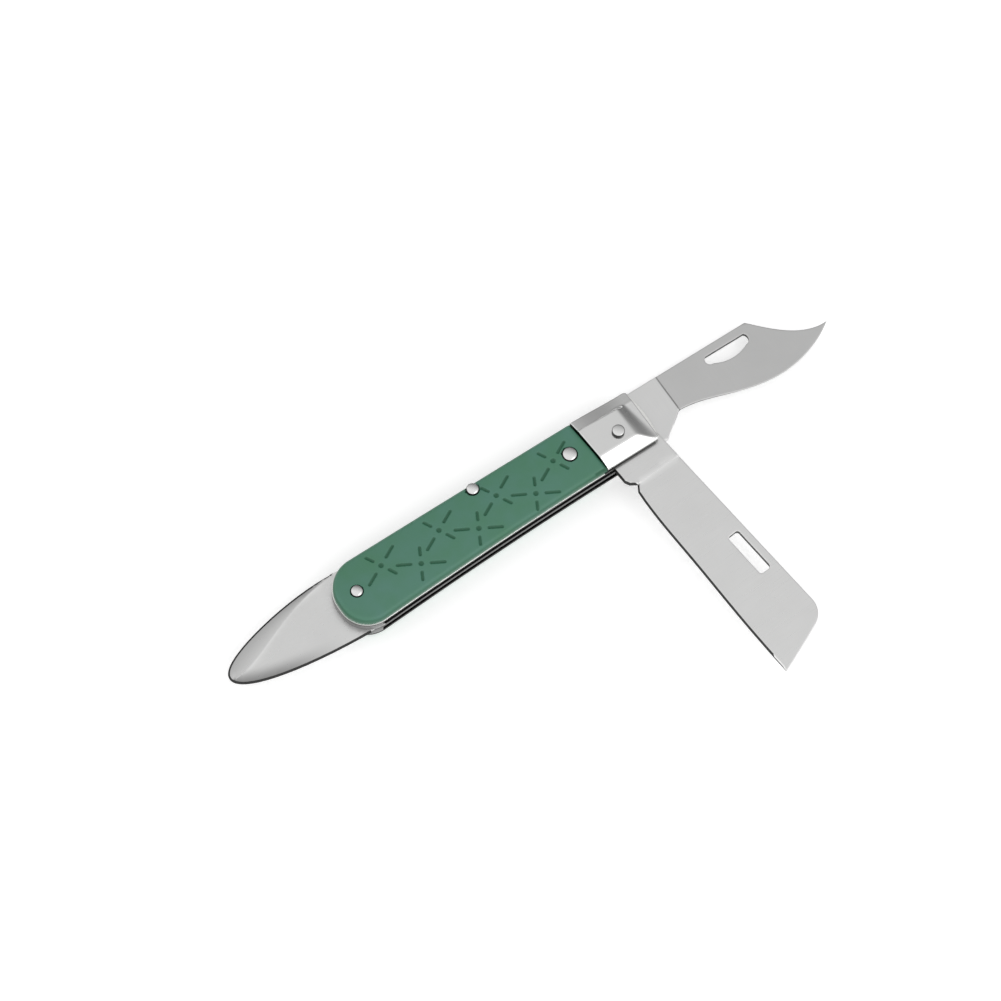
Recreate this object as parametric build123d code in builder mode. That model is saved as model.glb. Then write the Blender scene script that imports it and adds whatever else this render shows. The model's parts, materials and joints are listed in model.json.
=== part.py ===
from build123d import *
import math
import os

# Folding grafting knife: two slip-joint blades in a three-plate handle, with a fixed bark opener.
# Frame: +X is the bolster end, -X the bark opener, +Y the spring side of the handle, -Y the side the
# blades swing out of, +Z the front. The knife lies on its back bolster, the curved blade fully open
# and the straight blade at its half stop. The origin is the middle of that footprint, on the surface.
# Millimetres. The pieces are drawn about the pivot axis and the middle plane of the centre plate.

# Thicknesses
PLATE_T = 1.4
CHANNEL_T = 2.0
LINER_T = 0.8
BOLSTER_T = 2.4
FRONT_SCALE_T = 2.3
BACK_SCALE_T = 2.0
BLADE_T = 1.9

# Handle outline
HANDLE_FRONT = 8.7
HANDLE_REAR = -88.0
SPINE_Y = (9.3, 9.1, 8.7)
OPENING_Y = (-6.9, -7.8, -10.2)
FRONT_R = 1.0
FRONT_CHAMFER = 0.6
REAR_SPINE_R = 9.0
REAR_OPENING_R = 8.0
JUNCTION_X = -8.4
JUNCTION_SLANT = 0.07
JUNCTION_GAP = 0.2
LINER_MARGIN = 0.3
LINER_NOSE = 1.0
LINER_CHAMFER = 1.6

# Bolster relief
FACET_Y = -3.1
FACET_RIM = 0.7
FACET_SLOPE = 0.42
STRIP_Y = 5.9
STRIP_SLOPE = 0.17
STRIP_DROP = 0.1
STEP_START_X = 3.0
STEP_END = ((6.5, STRIP_Y), (10.5, -15.0))
STEP_DROP = 1.45

# Scales
CROWN_R = 75.0
SCALE_EDGE_R = 1.2
GROOVE_W = 0.75
GROOVE_DEPTH = 0.35
DOT_R = 0.55

# Pins and rivets: place, shank radius and head radius
PIVOT_R = 1.5
PIVOT_HEAD_R = 1.7
PIVOT_HEAD_T = 1.1
RUNNING_GAP = 0.05
SPRING_PIN = ((-41.2, 7.4), 1.1, 1.65)
TAIL_PIN = ((-82.2, 0.0), 1.0, 1.6)
RIVET = ((-14.3, 1.7), 1.2, 1.95)
HEAD_T = 0.9
HEAD_PROUD = 0.5
HEAD_ROUND = 0.35

# Slip joint: the three flats of each tang stand FLAT_D from the pivot
FLAT_D = 5.0
TANG_CORNER_R = 5.66
CLOSED_FLAT_L = 5.7
HALF_STOP = math.radians(86)
TRAVEL = math.radians(174)
SPRING_HEAD_X = (-5.6, 5.0)
SPRING_ARM_Y = 6.4
SPRING_BOSS_Y = 5.2
SPRING_BOSS_L = 7.0
SPRING_RAMP = 1.5
TAIL_BLOCK_X = -80.5
TAIL_BLOCK_R = 3.0

# Blades: p runs from the pivot to the tip, q from the pivot to the back of the blade
SHOULDER_P = 5.2
RICASSO_P = 6.5
RICASSO_END_P = 11.3
RICASSO_Q = -6.6
GRIND_BACK_T = 1.6
STRAIGHT_REACH = 77.7
STRAIGHT_EDGE_Q = -6.3
STRAIGHT_BELLY_Q = -6.56
STRAIGHT_GRIND_P = 13.8
STRAIGHT_BACK_Q = (9.2, 11.9)
STRAIGHT_END_P = 70.6
STRAIGHT_CORNER_R = 6.0
STRAIGHT_BEVEL_W = 0.34
STRAIGHT_BEVEL_T = 1.44
STRAIGHT_SLOT = ((46.4, 7.0), (13.2, 3.5), 0.8)
STRAIGHT_SLOT_TURN = 2
CURVED_REACH = 67.9
CURVED_EDGE_Q = -7.5
CURVED_EDGE_T = 0.3
CURVED_GRIND_P = 19.4
CURVED_BACK_Q = (9.8, 10.0)
CURVED_CORNER_P = 48.8
CURVED_RICASSO_END_P = 12.2
EDGE_T = 0.1

# Bark opener
OPENER_REACH = -121.6
OPENER_ROOT_X = -84.0
OPENER_TIP_Y = -0.6
OPENER_TAPER = ((-76.0, -8.5), (-76.0, 8.4))
RIDGE_TIP = (-120.0, -1.5)
OPENER_RIM_T = 0.5

# Heights above the middle plane
LINER_Z = PLATE_T / 2 + CHANNEL_T
COVER_Z = LINER_Z + LINER_T
STACK_Z = COVER_Z + BOLSTER_T
BLADE_Z = PLATE_T / 2 + (CHANNEL_T - BLADE_T) / 2
FRONT = 1
BACK = -1
REGION = 15.0

# The pivot, in the part's own frame
PIVOT_X = -(CURVED_REACH + OPENER_REACH) / 2
STRAIGHT_LOW_Y = STRAIGHT_REACH * math.sin(HALF_STOP) - STRAIGHT_EDGE_Q * math.cos(HALF_STOP)
PIVOT_Y = (STRAIGHT_LOW_Y - CURVED_BACK_Q[1]) / 2
PIVOT_Z = STACK_Z

# The moulded grip pattern: a plain row of crosses that lean by turns to one side and the other. Each is a
# dot with strokes around it, as (angle, start, end).
CROSS_ARMS = [(0, 2.7, 6.2), (90, 2.4, 4.4), (180, 2.7, 6.2), (270, 2.4, 4.4)]
CROSS_COUNT = 7
CROSS_START_X = -19.0
CROSS_SPACING = 9.0
CROSS_Y = 2.6
CROSS_LEAN = 28
CROSSES = [
    (
        (CROSS_START_X - CROSS_SPACING * i, CROSS_Y * (-1) ** i),
        [(angle + CROSS_LEAN * (-1) ** i, start, end) for angle, start, end in CROSS_ARMS],
    )
    for i in range(CROSS_COUNT)
]


def level(height):
    """A plane parallel to the blades, with its origin on the pivot axis."""
    return Plane(origin=(PIVOT_X, PIVOT_Y, PIVOT_Z + height))


def cross_section(x):
    """A plane across the handle: local x runs along +Y and local y along +Z."""
    return Plane(origin=(PIVOT_X + x, PIVOT_Y, PIVOT_Z), x_dir=(0, 1, 0), z_dir=(1, 0, 0))


def long_section(y):
    """A plane along the handle: local x runs along +X and local y along +Z."""
    return Plane(origin=(PIVOT_X, PIVOT_Y + y, PIVOT_Z), x_dir=(1, 0, 0), z_dir=(0, -1, 0))


def blade_plane(height, turned):
    """A plane parallel to the blades, turned clockwise about the pivot from the open position."""
    along = (math.cos(turned), -math.sin(turned), 0)
    return Plane(origin=(PIVOT_X, PIVOT_Y, PIVOT_Z + height), x_dir=along, z_dir=(0, 0, 1))


def blade_section(p, turned, height):
    """A plane across a blade at p, facing its tip: local x runs along q and local y along +Z."""
    along = Vector(math.cos(turned), -math.sin(turned), 0)
    across = Vector(math.sin(turned), math.cos(turned), 0)
    return Plane(origin=Vector(PIVOT_X, PIVOT_Y, PIVOT_Z + height) + along * p, x_dir=across, z_dir=along)


def nearest(builder, point):
    """The corner of a sketch that lies nearest a point."""
    return builder.vertices().sort_by_distance(point)[0]


def handle_outline(margin=0.0, nose=0.0, chamfered=FRONT_CHAMFER):
    """The handle seen from the front. margin grows its rear end and its opening side, nose bows its
    blade end outwards."""
    rear = HANDLE_REAR - margin
    middle = (HANDLE_FRONT + rear) / 2
    spine_front = (HANDLE_FRONT, SPINE_Y[0])
    spine_rear = (rear, SPINE_Y[2])
    opening_rear = (rear, OPENING_Y[2] - margin)
    opening_front = (HANDLE_FRONT, OPENING_Y[0] - margin)
    with BuildSketch() as outline:
        with BuildLine():
            ThreePointArc(spine_front, (middle, SPINE_Y[1]), spine_rear)
            Line(spine_rear, opening_rear)
            ThreePointArc(opening_rear, (middle, OPENING_Y[1] - margin), opening_front)
            if nose:
                ThreePointArc(opening_front, (HANDLE_FRONT + nose, 0), spine_front)
            else:
                Line(opening_front, spine_front)
        make_face()
        fillet(nearest(outline, spine_rear), REAR_SPINE_R)
        fillet(nearest(outline, opening_rear), REAR_OPENING_R)
        fillet(nearest(outline, spine_front), FRONT_R)
        chamfer(nearest(outline, opening_front), chamfered)
    return outline.sketch


def plate_outline():
    return handle_outline(LINER_MARGIN, LINER_NOSE, LINER_CHAMFER)


def ahead_of_junction(shift):
    """Everything ahead of the slanted joint between bolster and scale."""
    top = JUNCTION_X + shift - JUNCTION_SLANT * REGION
    bottom = JUNCTION_X + shift + JUNCTION_SLANT * REGION
    with BuildSketch() as region:
        with BuildLine():
            Polyline((top, REGION), (REGION, REGION), (REGION, -REGION), (bottom, -REGION), close=True)
        make_face()
    return region.sketch


def cut_round(centre, radius):
    """Removes a disc from the sketch being drawn."""
    with Locations(centre):
        Circle(radius, mode=Mode.SUBTRACT)


def drop(radius, run):
    """How far a circle has fallen from its top after a run to one side."""
    return radius - math.sqrt(radius**2 - run**2)


def make_liner(side):
    with BuildPart() as liner:
        with BuildSketch(level(side * LINER_Z)):
            add(plate_outline())
            cut_round((0, 0), PIVOT_R)
            for centre, shank_r, _ in (SPRING_PIN, TAIL_PIN, RIVET):
                cut_round(centre, shank_r)
        extrude(amount=side * LINER_T)
    return liner


def make_bolster(side):
    top = side * STACK_Z
    above = side * (STACK_Z + 1)
    facet_foot = side * (STACK_Z - FACET_SLOPE * REGION)
    ledge = side * (STACK_Z - STEP_DROP)
    clear_x = HANDLE_FRONT + 4
    with BuildPart() as bolster:
        with BuildSketch(level(side * COVER_Z)):
            add(handle_outline())
            add(ahead_of_junction(0), mode=Mode.INTERSECT)
            cut_round((0, 0), PIVOT_R)
        extrude(amount=side * BOLSTER_T)
        # A steep facet on the opening side leaves a narrow rim at the joint with the scale.
        with BuildSketch(cross_section(JUNCTION_X + FACET_RIM)):
            with BuildLine():
                Polyline((FACET_Y, top), (FACET_Y - REGION, facet_foot), (FACET_Y - REGION, above))
                Polyline((FACET_Y - REGION, above), (FACET_Y, above), (FACET_Y, top))
            make_face()
        extrude(amount=2 * REGION, mode=Mode.SUBTRACT)
        # A shallow strip bevel follows the spine and falls to the height of the blade end.
        for x, fall in ((JUNCTION_X - 1, STRIP_DROP), (HANDLE_FRONT + 1, STEP_DROP)):
            crest = side * (STACK_Z - fall)
            foot = side * (STACK_Z - fall - STRIP_SLOPE * REGION)
            with BuildSketch(cross_section(x)):
                with BuildLine():
                    Polyline((STRIP_Y, crest), (STRIP_Y + REGION, foot), (STRIP_Y + REGION, above))
                    Polyline((STRIP_Y + REGION, above), (STRIP_Y, above), (STRIP_Y, crest))
                make_face()
        loft(mode=Mode.SUBTRACT)
        # Below the strip, the blade end steps down towards the liner in a smooth S that widens.
        for end_x, y in STEP_END:
            with BuildSketch(long_section(y)):
                with BuildLine():
                    Spline((STEP_START_X, top), (end_x, ledge), tangents=((1, 0), (1, 0)))
                    Polyline((end_x, ledge), (clear_x, ledge), (clear_x, above), (STEP_START_X, above))
                    Line((STEP_START_X, above), (STEP_START_X, top))
                make_face()
        loft(mode=Mode.SUBTRACT)
    return bolster


def crowned_block(side, thickness):
    """The handle's outer shape behind the bolster, crowned across its width."""
    crest = side * (COVER_Z + thickness)
    edge = crest - side * drop(CROWN_R, REGION)
    with BuildPart() as block:
        with BuildSketch(level(side * COVER_Z)):
            add(handle_outline())
            add(ahead_of_junction(-JUNCTION_GAP), mode=Mode.SUBTRACT)
        extrude(amount=side * (thickness + 1))
        with BuildSketch(cross_section(HANDLE_REAR - 1)):
            with BuildLine():
                ThreePointArc((-REGION, edge), (0, crest), (REGION, edge))
                Polyline((REGION, edge), (REGION, 0), (-REGION, 0), (-REGION, edge))
            make_face()
        extrude(amount=REGION - HANDLE_REAR, mode=Mode.INTERSECT)
    return block.part


def groove_pattern():
    with BuildSketch() as grooves:
        for centre, strokes in CROSSES:
            with Locations(centre):
                Circle(DOT_R)
                for angle, start, end in strokes:
                    with PolarLocations((start + end) / 2, 1, start_angle=angle):
                        SlotCenterToCenter(end - start, GROOVE_W)
    return grooves.sketch


def head_seat(side):
    """Height of the underside of the pin heads, below the surface of the scale."""
    head_top = COVER_Z + FRONT_SCALE_T + HEAD_PROUD if side == FRONT else STACK_Z
    return head_top - HEAD_T


def cylinder(centre, radius, low, high, mode=Mode.ADD):
    """An upright cylinder between two heights, in the part being built."""
    with Locations((PIVOT_X + centre[0], PIVOT_Y + centre[1], PIVOT_Z + (low + high) / 2)):
        Cylinder(radius, abs(high - low), mode=mode)


def outer_face(piece, side):
    """The face that a piece turns to the front or to the back."""
    return piece.faces().sort_by(Axis.Z)[-1 if side == FRONT else 0]


def make_scale(side, thickness):
    with BuildPart() as cutter:
        with BuildSketch(level(side * COVER_Z)):
            add(groove_pattern())
        extrude(amount=side * (thickness + 1))
        add(crowned_block(side, thickness - GROOVE_DEPTH), mode=Mode.SUBTRACT)
    with BuildPart() as scale:
        add(crowned_block(side, thickness))
        crown = outer_face(scale, side)
        rim = crown.edges().filter_by(lambda edge: edge.center().X < PIVOT_X + JUNCTION_X - 1)
        fillet(rim, SCALE_EDGE_R)
        add(cutter.part, mode=Mode.SUBTRACT)
        for centre, shank_r, head_r in (SPRING_PIN, TAIL_PIN, RIVET):
            cylinder(centre, shank_r, side * COVER_Z, side * REGION, Mode.SUBTRACT)
            cylinder(centre, head_r, side * head_seat(side), side * REGION, Mode.SUBTRACT)
    return scale


def make_through_pin(centre, shank_r, head_r):
    with BuildPart() as pin:
        cylinder(centre, shank_r, -head_seat(BACK), head_seat(FRONT))
        for side in (FRONT, BACK):
            seat = head_seat(side)
            cylinder(centre, head_r, side * seat, side * (seat + HEAD_T))
            fillet(outer_face(pin, side).edges(), HEAD_ROUND)
    return pin


def make_rivet(side, centre, shank_r, head_r):
    seat = head_seat(side)
    with BuildPart() as rivet:
        cylinder(centre, shank_r, side * LINER_Z, side * seat)
        cylinder(centre, head_r, side * seat, side * (seat + HEAD_T))
        fillet(outer_face(rivet, side).edges(), HEAD_ROUND)
    return rivet


def make_pivot_pin():
    with BuildPart() as pin:
        cylinder((0, 0), PIVOT_R, -STACK_Z, STACK_Z)
        cylinder((0, 0), PIVOT_HEAD_R, STACK_Z, STACK_Z + PIVOT_HEAD_T)
        fillet(outer_face(pin, FRONT).edges(), HEAD_ROUND)
    return pin


def make_spring(side):
    boss_middle = SPRING_PIN[0][0]
    boss_front = boss_middle + SPRING_BOSS_L / 2
    boss_rear = boss_middle - SPRING_BOSS_L / 2
    with BuildPart() as spring:
        with BuildSketch(level(side * PLATE_T / 2)) as outline:
            with BuildLine():
                Polyline(
                    (SPRING_HEAD_X[1], REGION),
                    (SPRING_HEAD_X[1], FLAT_D),
                    (SPRING_HEAD_X[0], FLAT_D),
                    (SPRING_HEAD_X[0] - 1, SPRING_ARM_Y),
                    (boss_front + SPRING_RAMP, SPRING_ARM_Y),
                    (boss_front, SPRING_BOSS_Y),
                    (boss_rear, SPRING_BOSS_Y),
                    (boss_rear - SPRING_RAMP, SPRING_ARM_Y),
                    (TAIL_BLOCK_X, SPRING_ARM_Y),
                    (TAIL_BLOCK_X, -REGION),
                    (HANDLE_REAR - 1, -REGION),
                    (HANDLE_REAR - 1, REGION),
                    close=True,
                )
            make_face()
            fillet(nearest(outline, (TAIL_BLOCK_X, SPRING_ARM_Y)), TAIL_BLOCK_R)
            add(plate_outline(), mode=Mode.INTERSECT)
            cut_round(*SPRING_PIN[:2])
            cut_round(*TAIL_PIN[:2])
        extrude(amount=side * CHANNEL_T)
    return spring


def tang_and_ricasso():
    """The lines round the pivot, from the shoulder over the three flats to the end of the ricasso."""
    half_flat = math.sqrt(TANG_CORNER_R**2 - FLAT_D**2)
    previous = (SHOULDER_P, FLAT_D)
    last_angle = 0.0
    for angle in (0.0, HALF_STOP, TRAVEL):
        out = Vector(-math.sin(angle), math.cos(angle))
        along = Vector(-math.cos(angle), -math.sin(angle))
        if angle:
            between = (angle + last_angle) / 2
            corner = Vector(-math.sin(between), math.cos(between)) * TANG_CORNER_R
            start = out * FLAT_D - along * half_flat
            ThreePointArc(previous, corner, start)
            previous = start
        reach = CLOSED_FLAT_L if angle == TRAVEL else half_flat
        end = out * FLAT_D + along * reach
        Line(previous, end)
        previous = end
        last_angle = angle
    Polyline(previous, (RICASSO_P, RICASSO_Q), (RICASSO_END_P, RICASSO_Q))


def grind_wedges(turned, height, start_p, section):
    """The two wedges that thin a blade towards its edge, from start_p to the tip. section lists the
    blade's half thickness across q, from back to edge."""
    foot_q = section[-1][0]
    with BuildPart() as wedges:
        for side in (FRONT, BACK):
            surface = [(q, side * half) for q, half in section]
            with BuildSketch(blade_section(start_p, turned, height)):
                with BuildLine():
                    Polyline(*surface, (foot_q, side * BLADE_T), (section[0][0], side * BLADE_T), close=True)
                make_face()
            extrude(amount=STRAIGHT_REACH)
    return wedges.part


def make_straight_blade():
    middle = BLADE_Z + BLADE_T / 2
    tip = (STRAIGHT_REACH, STRAIGHT_EDGE_Q)
    back_end = (STRAIGHT_END_P, STRAIGHT_BACK_Q[1])
    notch = (STRAIGHT_GRIND_P, -4.2)
    edge_start = (15.6, -5.4)
    slot_centre, slot_size, slot_r = STRAIGHT_SLOT
    section = [(STRAIGHT_BACK_Q[1] + 1, GRIND_BACK_T / 2), (STRAIGHT_BELLY_Q, STRAIGHT_BEVEL_T / 2)]
    bevel_h = (STRAIGHT_BEVEL_T - EDGE_T) / 2
    with BuildPart() as blade:
        with BuildSketch(blade_plane(BLADE_Z, HALF_STOP)) as outline:
            with BuildLine():
                tang_and_ricasso()
                Polyline((RICASSO_END_P, RICASSO_Q), (12.6, -5.9), notch, edge_start)
                Spline(edge_start, (18.5, -5.7), (38.0, -6.2), (60.0, STRAIGHT_BELLY_Q), tip)
                ThreePointArc(tip, (74.9, 1.3), back_end)
                Polyline(back_end, (SHOULDER_P, STRAIGHT_BACK_Q[0]), (SHOULDER_P, FLAT_D))
            make_face()
            fillet(nearest(outline, back_end), STRAIGHT_CORNER_R)
            cut_round((0, 0), PIVOT_R + RUNNING_GAP)
            with Locations(Location(slot_centre, STRAIGHT_SLOT_TURN)):
                RectangleRounded(*slot_size, slot_r, mode=Mode.SUBTRACT)
        extrude(amount=BLADE_T)
        add(grind_wedges(HALF_STOP, middle, STRAIGHT_GRIND_P, section), mode=Mode.SUBTRACT)
        # A steep bevel on both sides brings the cutting edge to its line.
        on_edge = blade_plane(middle, HALF_STOP).from_local_coords((STRAIGHT_REACH / 2, STRAIGHT_BELLY_Q, 0))
        wall = blade.faces().sort_by_distance(on_edge)[0]
        for corner in wall.edges().filter_by(lambda edge: edge.length > STRAIGHT_REACH / 2):
            chamfer(corner, bevel_h, STRAIGHT_BEVEL_W, reference=wall)
    return blade


def make_curved_blade():
    opened = 0.0
    middle = -BLADE_Z - BLADE_T / 2
    corner = (CURVED_CORNER_P, CURVED_BACK_Q[1])
    tip = (CURVED_REACH, -1.5)
    plunge = (CURVED_GRIND_P, -1.3)
    slot_ends = ((34.2, 7.5), (46.6, 7.5))
    section = [(CURVED_BACK_Q[1] + 1, GRIND_BACK_T / 2), (CURVED_EDGE_Q - 0.5, CURVED_EDGE_T / 2)]
    with BuildPart() as blade:
        with BuildSketch(blade_plane(middle - BLADE_T / 2, opened)):
            with BuildLine():
                tang_and_ricasso()
                Polyline((RICASSO_END_P, RICASSO_Q), (CURVED_RICASSO_END_P, RICASSO_Q), plunge)
                Spline(plunge, (25.0, -2.0), (36.0, -5.4), (49.0, CURVED_EDGE_Q), (60.0, -5.5), tip)
                Spline(tip, (62.5, -0.8), (55.0, 3.8), corner)
                Polyline(corner, (SHOULDER_P, CURVED_BACK_Q[0]), (SHOULDER_P, FLAT_D))
            make_face()
            cut_round((0, 0), PIVOT_R + RUNNING_GAP)
            with BuildLine():
                Line(*slot_ends)
                ThreePointArc(slot_ends[1], (47.2, 6.1), (45.6, 4.6))
                ThreePointArc((45.6, 4.6), (40.0, 3.4), (35.0, 4.8))
                ThreePointArc((35.0, 4.8), (33.4, 6.4), slot_ends[0])
            make_face(mode=Mode.SUBTRACT)
        extrude(amount=BLADE_T)
        add(grind_wedges(opened, middle, CURVED_GRIND_P, section), mode=Mode.SUBTRACT)
    return blade


def opener_outline(spine_side, opening_side):
    """A tongue between two curves that run from its root to its tip, given by their control points. It
    narrows again inside the handle."""
    with BuildSketch() as tongue:
        with BuildLine():
            Bezier(*spine_side)
            Bezier(*opening_side)
            Polyline(opening_side[0], *OPENER_TAPER, spine_side[0])
        make_face()
    return tongue.sketch


def make_bark_opener_plate():
    root_x = OPENER_ROOT_X
    tip = (OPENER_REACH, OPENER_TIP_Y)
    rim = opener_outline(
        [(root_x, 9.4), (-97.7, 10.1), (-112.4, 6.2), (OPENER_REACH, 3.6), tip],
        [(root_x, -9.8), (-97.9, -9.4), (-112.7, -7.6), (OPENER_REACH, -4.6), tip],
    )
    ridge = opener_outline(
        [(root_x, 8.9), (-98.0, 8.2), (-108.0, 2.0), (-114.0, -1.2), RIDGE_TIP],
        [(root_x, -9.3), (-97.9, -8.9), (-112.5, -7.0), (-119.8, -4.6), RIDGE_TIP],
    )
    with BuildPart() as plate:
        with BuildSketch(level(-PLATE_T / 2)):
            add(plate_outline())
        extrude(amount=PLATE_T)
        with BuildSketch(level(-OPENER_RIM_T / 2)):
            add(rim)
        extrude(amount=OPENER_RIM_T)
        for side in (FRONT, BACK):
            with BuildSketch(level(side * OPENER_RIM_T / 2)):
                add(rim)
            with BuildSketch(level(side * PLATE_T / 2)):
                add(ridge)
            loft()
        cylinder((0, 0), PIVOT_R, -REGION, REGION, Mode.SUBTRACT)
        for centre, shank_r, _ in (SPRING_PIN, TAIL_PIN):
            cylinder(centre, shank_r, -REGION, REGION, Mode.SUBTRACT)
    return plate


pieces = {
    "front_liner": make_liner(FRONT),
    "back_liner": make_liner(BACK),
    "front_bolster": make_bolster(FRONT),
    "back_bolster": make_bolster(BACK),
    "front_scale": make_scale(FRONT, FRONT_SCALE_T),
    "back_scale": make_scale(BACK, BACK_SCALE_T),
    "pivot_pin": make_pivot_pin(),
    "spring_pin": make_through_pin(*SPRING_PIN),
    "tail_pin": make_through_pin(*TAIL_PIN),
    "front_scale_rivet": make_rivet(FRONT, *RIVET),
    "back_scale_rivet": make_rivet(BACK, *RIVET),
    "straight_blade_spring": make_spring(FRONT),
    "curved_blade_spring": make_spring(BACK),
    "straight_blade": make_straight_blade(),
    "curved_blade": make_curved_blade(),
    "bark_opener_plate": make_bark_opener_plate(),
}

os.makedirs("parts", exist_ok=True)
for name, piece in pieces.items():
    piece.part.label = name
    export_step(piece.part, f"parts/{name}.step")
    print(name, piece.part.is_valid, round(piece.part.volume, 1))
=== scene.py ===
import json
import math

import bpy
import numpy as np
from mathutils import Matrix, Vector
from mathutils.geometry import delaunay_2d_cdt


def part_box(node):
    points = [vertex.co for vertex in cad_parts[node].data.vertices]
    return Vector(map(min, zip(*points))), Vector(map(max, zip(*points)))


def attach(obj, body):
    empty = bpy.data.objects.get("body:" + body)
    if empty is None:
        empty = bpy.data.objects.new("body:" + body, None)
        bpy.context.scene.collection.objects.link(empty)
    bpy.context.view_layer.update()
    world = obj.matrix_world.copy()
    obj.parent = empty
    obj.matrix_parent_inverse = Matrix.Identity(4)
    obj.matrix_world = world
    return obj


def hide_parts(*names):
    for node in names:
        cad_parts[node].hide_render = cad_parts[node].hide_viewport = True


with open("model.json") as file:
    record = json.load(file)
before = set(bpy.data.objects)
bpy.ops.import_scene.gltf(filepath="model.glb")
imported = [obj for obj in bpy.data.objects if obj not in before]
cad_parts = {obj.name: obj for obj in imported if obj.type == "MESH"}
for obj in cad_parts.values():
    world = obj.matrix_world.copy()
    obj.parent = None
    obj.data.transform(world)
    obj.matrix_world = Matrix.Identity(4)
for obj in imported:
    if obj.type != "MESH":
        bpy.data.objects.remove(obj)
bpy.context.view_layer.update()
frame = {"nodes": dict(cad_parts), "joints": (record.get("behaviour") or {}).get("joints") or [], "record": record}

# Shapes are drawn in millimetres about the pivot axis and the middle plane of the centre plate, and
# each visible piece takes its outline from the CAD node that it stands for.
MM = 0.001
JOINTS = {joint["name"]: joint for joint in frame["joints"]}
BODIES = frame["record"]["behaviour"]["bodies"]
BODY_OF = {node: body for body, nodes in BODIES.items() for node in nodes}
PIVOT = np.array(JOINTS["straight_blade_pivot"]["pos_m"]) / MM
FRONT = 1
BACK = -1
FINE_GAP = 0.07
SHARP_ANGLE = math.radians(38)


def add_object(name, mesh):
    made = bpy.data.objects.new(name, mesh)
    bpy.context.scene.collection.objects.link(made)
    return made


def span(node, axis):
    """(lowest, highest) of a CAD node along an axis, in millimetres from the pivot."""
    low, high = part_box(node)
    return low[axis] / MM - PIVOT[axis], high[axis] / MM - PIVOT[axis]


# ---------------------------------------------------------------- outlines and triangulation

def inside(points, triangles):
    """True for each point that lies in one of the triangles."""
    a, b, c = triangles[:, 0], triangles[:, 1], triangles[:, 2]
    found = np.zeros(len(points), bool)
    for start in range(0, len(points), 500):
        p = points[start:start + 500, None, :]
        signs = [
            (e[:, 0] - s[:, 0]) * (p[..., 1] - s[:, 1]) - (e[:, 1] - s[:, 1]) * (p[..., 0] - s[:, 0])
            for s, e in ((a, b), (b, c), (c, a))
        ]
        found[start:start + 500] = np.all([sign >= -1e-9 for sign in signs], axis=0).any(axis=1)
    return found


def chain(edges):
    """Closed loops of vertex numbers from directed boundary edges."""
    following = {}
    for a, b in edges:
        following.setdefault(a, []).append(b)
    loops = []
    while following:
        here = next(iter(following))
        loop = [here]
        while following.get(here):
            onward = following[here].pop()
            if not following[here]:
                del following[here]
            here = onward
            loop.append(here)
        loops.append(loop[:-1])
    return loops


def boundary(faces):
    """Directed edges that only one of the faces uses."""
    used = {(face[i], face[i - 2]) for face in faces for i in range(3)}
    return [(a, b) for a, b in used if (b, a) not in used]


def silhouette(node, facing):
    """The outline of a CAD node's upper or under side, as closed loops of points about the pivot, the
    longest first."""
    mesh = frame["nodes"][node].data
    mesh.calc_loop_triangles()
    corners = np.array([v.co for v in mesh.vertices], float) / MM - PIVOT
    triangles = np.array([t.vertices for t in mesh.loop_triangles])
    turned = facing * np.array([t.normal.z for t in mesh.loop_triangles]) > 0.02
    flat = corners[triangles[turned]][:, ::facing, :2]
    vertices = [Vector(point) for point in flat.reshape(-1, 2)]
    faces = [(3 * i, 3 * i + 1, 3 * i + 2) for i in range(len(flat))]
    merged, _, cells, *_ = delaunay_2d_cdt(vertices, [], faces, 0, 0.002)
    merged = np.array([tuple(v) for v in merged])
    cells = np.array(cells)
    centres = merged[cells].mean(axis=1)
    cells = cells[inside(centres, flat)]
    loops = [merged[loop] for loop in chain(boundary(cells.tolist()))]
    loops = [loop for loop in loops if np.ptp(loop, axis=0).min() > 0.5]
    return sorted(loops, key=lambda loop: -np.ptp(loop, axis=0).sum())


def resample(loop, spacing):
    """The loop with its long sides divided."""
    made = []
    for here, following in zip(loop, np.roll(loop, -1, axis=0)):
        length = np.linalg.norm(following - here)
        if length < 0.02:
            continue
        count = max(1, math.ceil(length / spacing))
        made.extend(here + (following - here) * i / count for i in range(count))
    return np.array(made)


def distance(points, starts, ends):
    """How far each point is from the nearest of the segments."""
    best = np.full(len(points), np.inf)
    for a, b in zip(starts, ends):
        along = b - a
        length2 = max(float(along @ along), 1e-12)
        t = np.clip(((points - a) @ along) / length2, 0, 1)
        best = np.minimum(best, np.hypot(*(points - a - t[:, None] * along).T))
    return best


def inset(loop, offset):
    """The loop's points, each moved inwards."""
    ahead = np.roll(loop, -1, axis=0) - loop
    behind = loop - np.roll(loop, 1, axis=0)
    ahead = ahead / np.linalg.norm(ahead, axis=1)[:, None]
    behind = behind / np.linalg.norm(behind, axis=1)[:, None]
    tangent = ahead + behind
    tangent /= np.maximum(np.linalg.norm(tangent, axis=1), 1e-9)[:, None]
    return loop + offset * np.stack([-tangent[:, 1], tangent[:, 0]], axis=1)


def capsule(start, end, radius, step):
    """Points round a stroke with round ends."""
    start, end = np.array(start, float), np.array(end, float)
    along = end - start
    length = np.linalg.norm(along)
    along = along / length if length else np.array([1.0, 0.0])
    across = np.array([-along[1], along[0]])
    made = []
    for i in range(max(1, round(length / step)) + 1):
        spot = start + along * min(length, i * step)
        made += [spot + across * radius, spot - across * radius]
    for i in range(1, 8):
        turn = math.pi * i / 8
        out = math.sin(turn) * along
        side = math.cos(turn) * across
        made += [end + (out + side) * radius, start + (side - out) * radius]
    return np.array(made)


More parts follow.
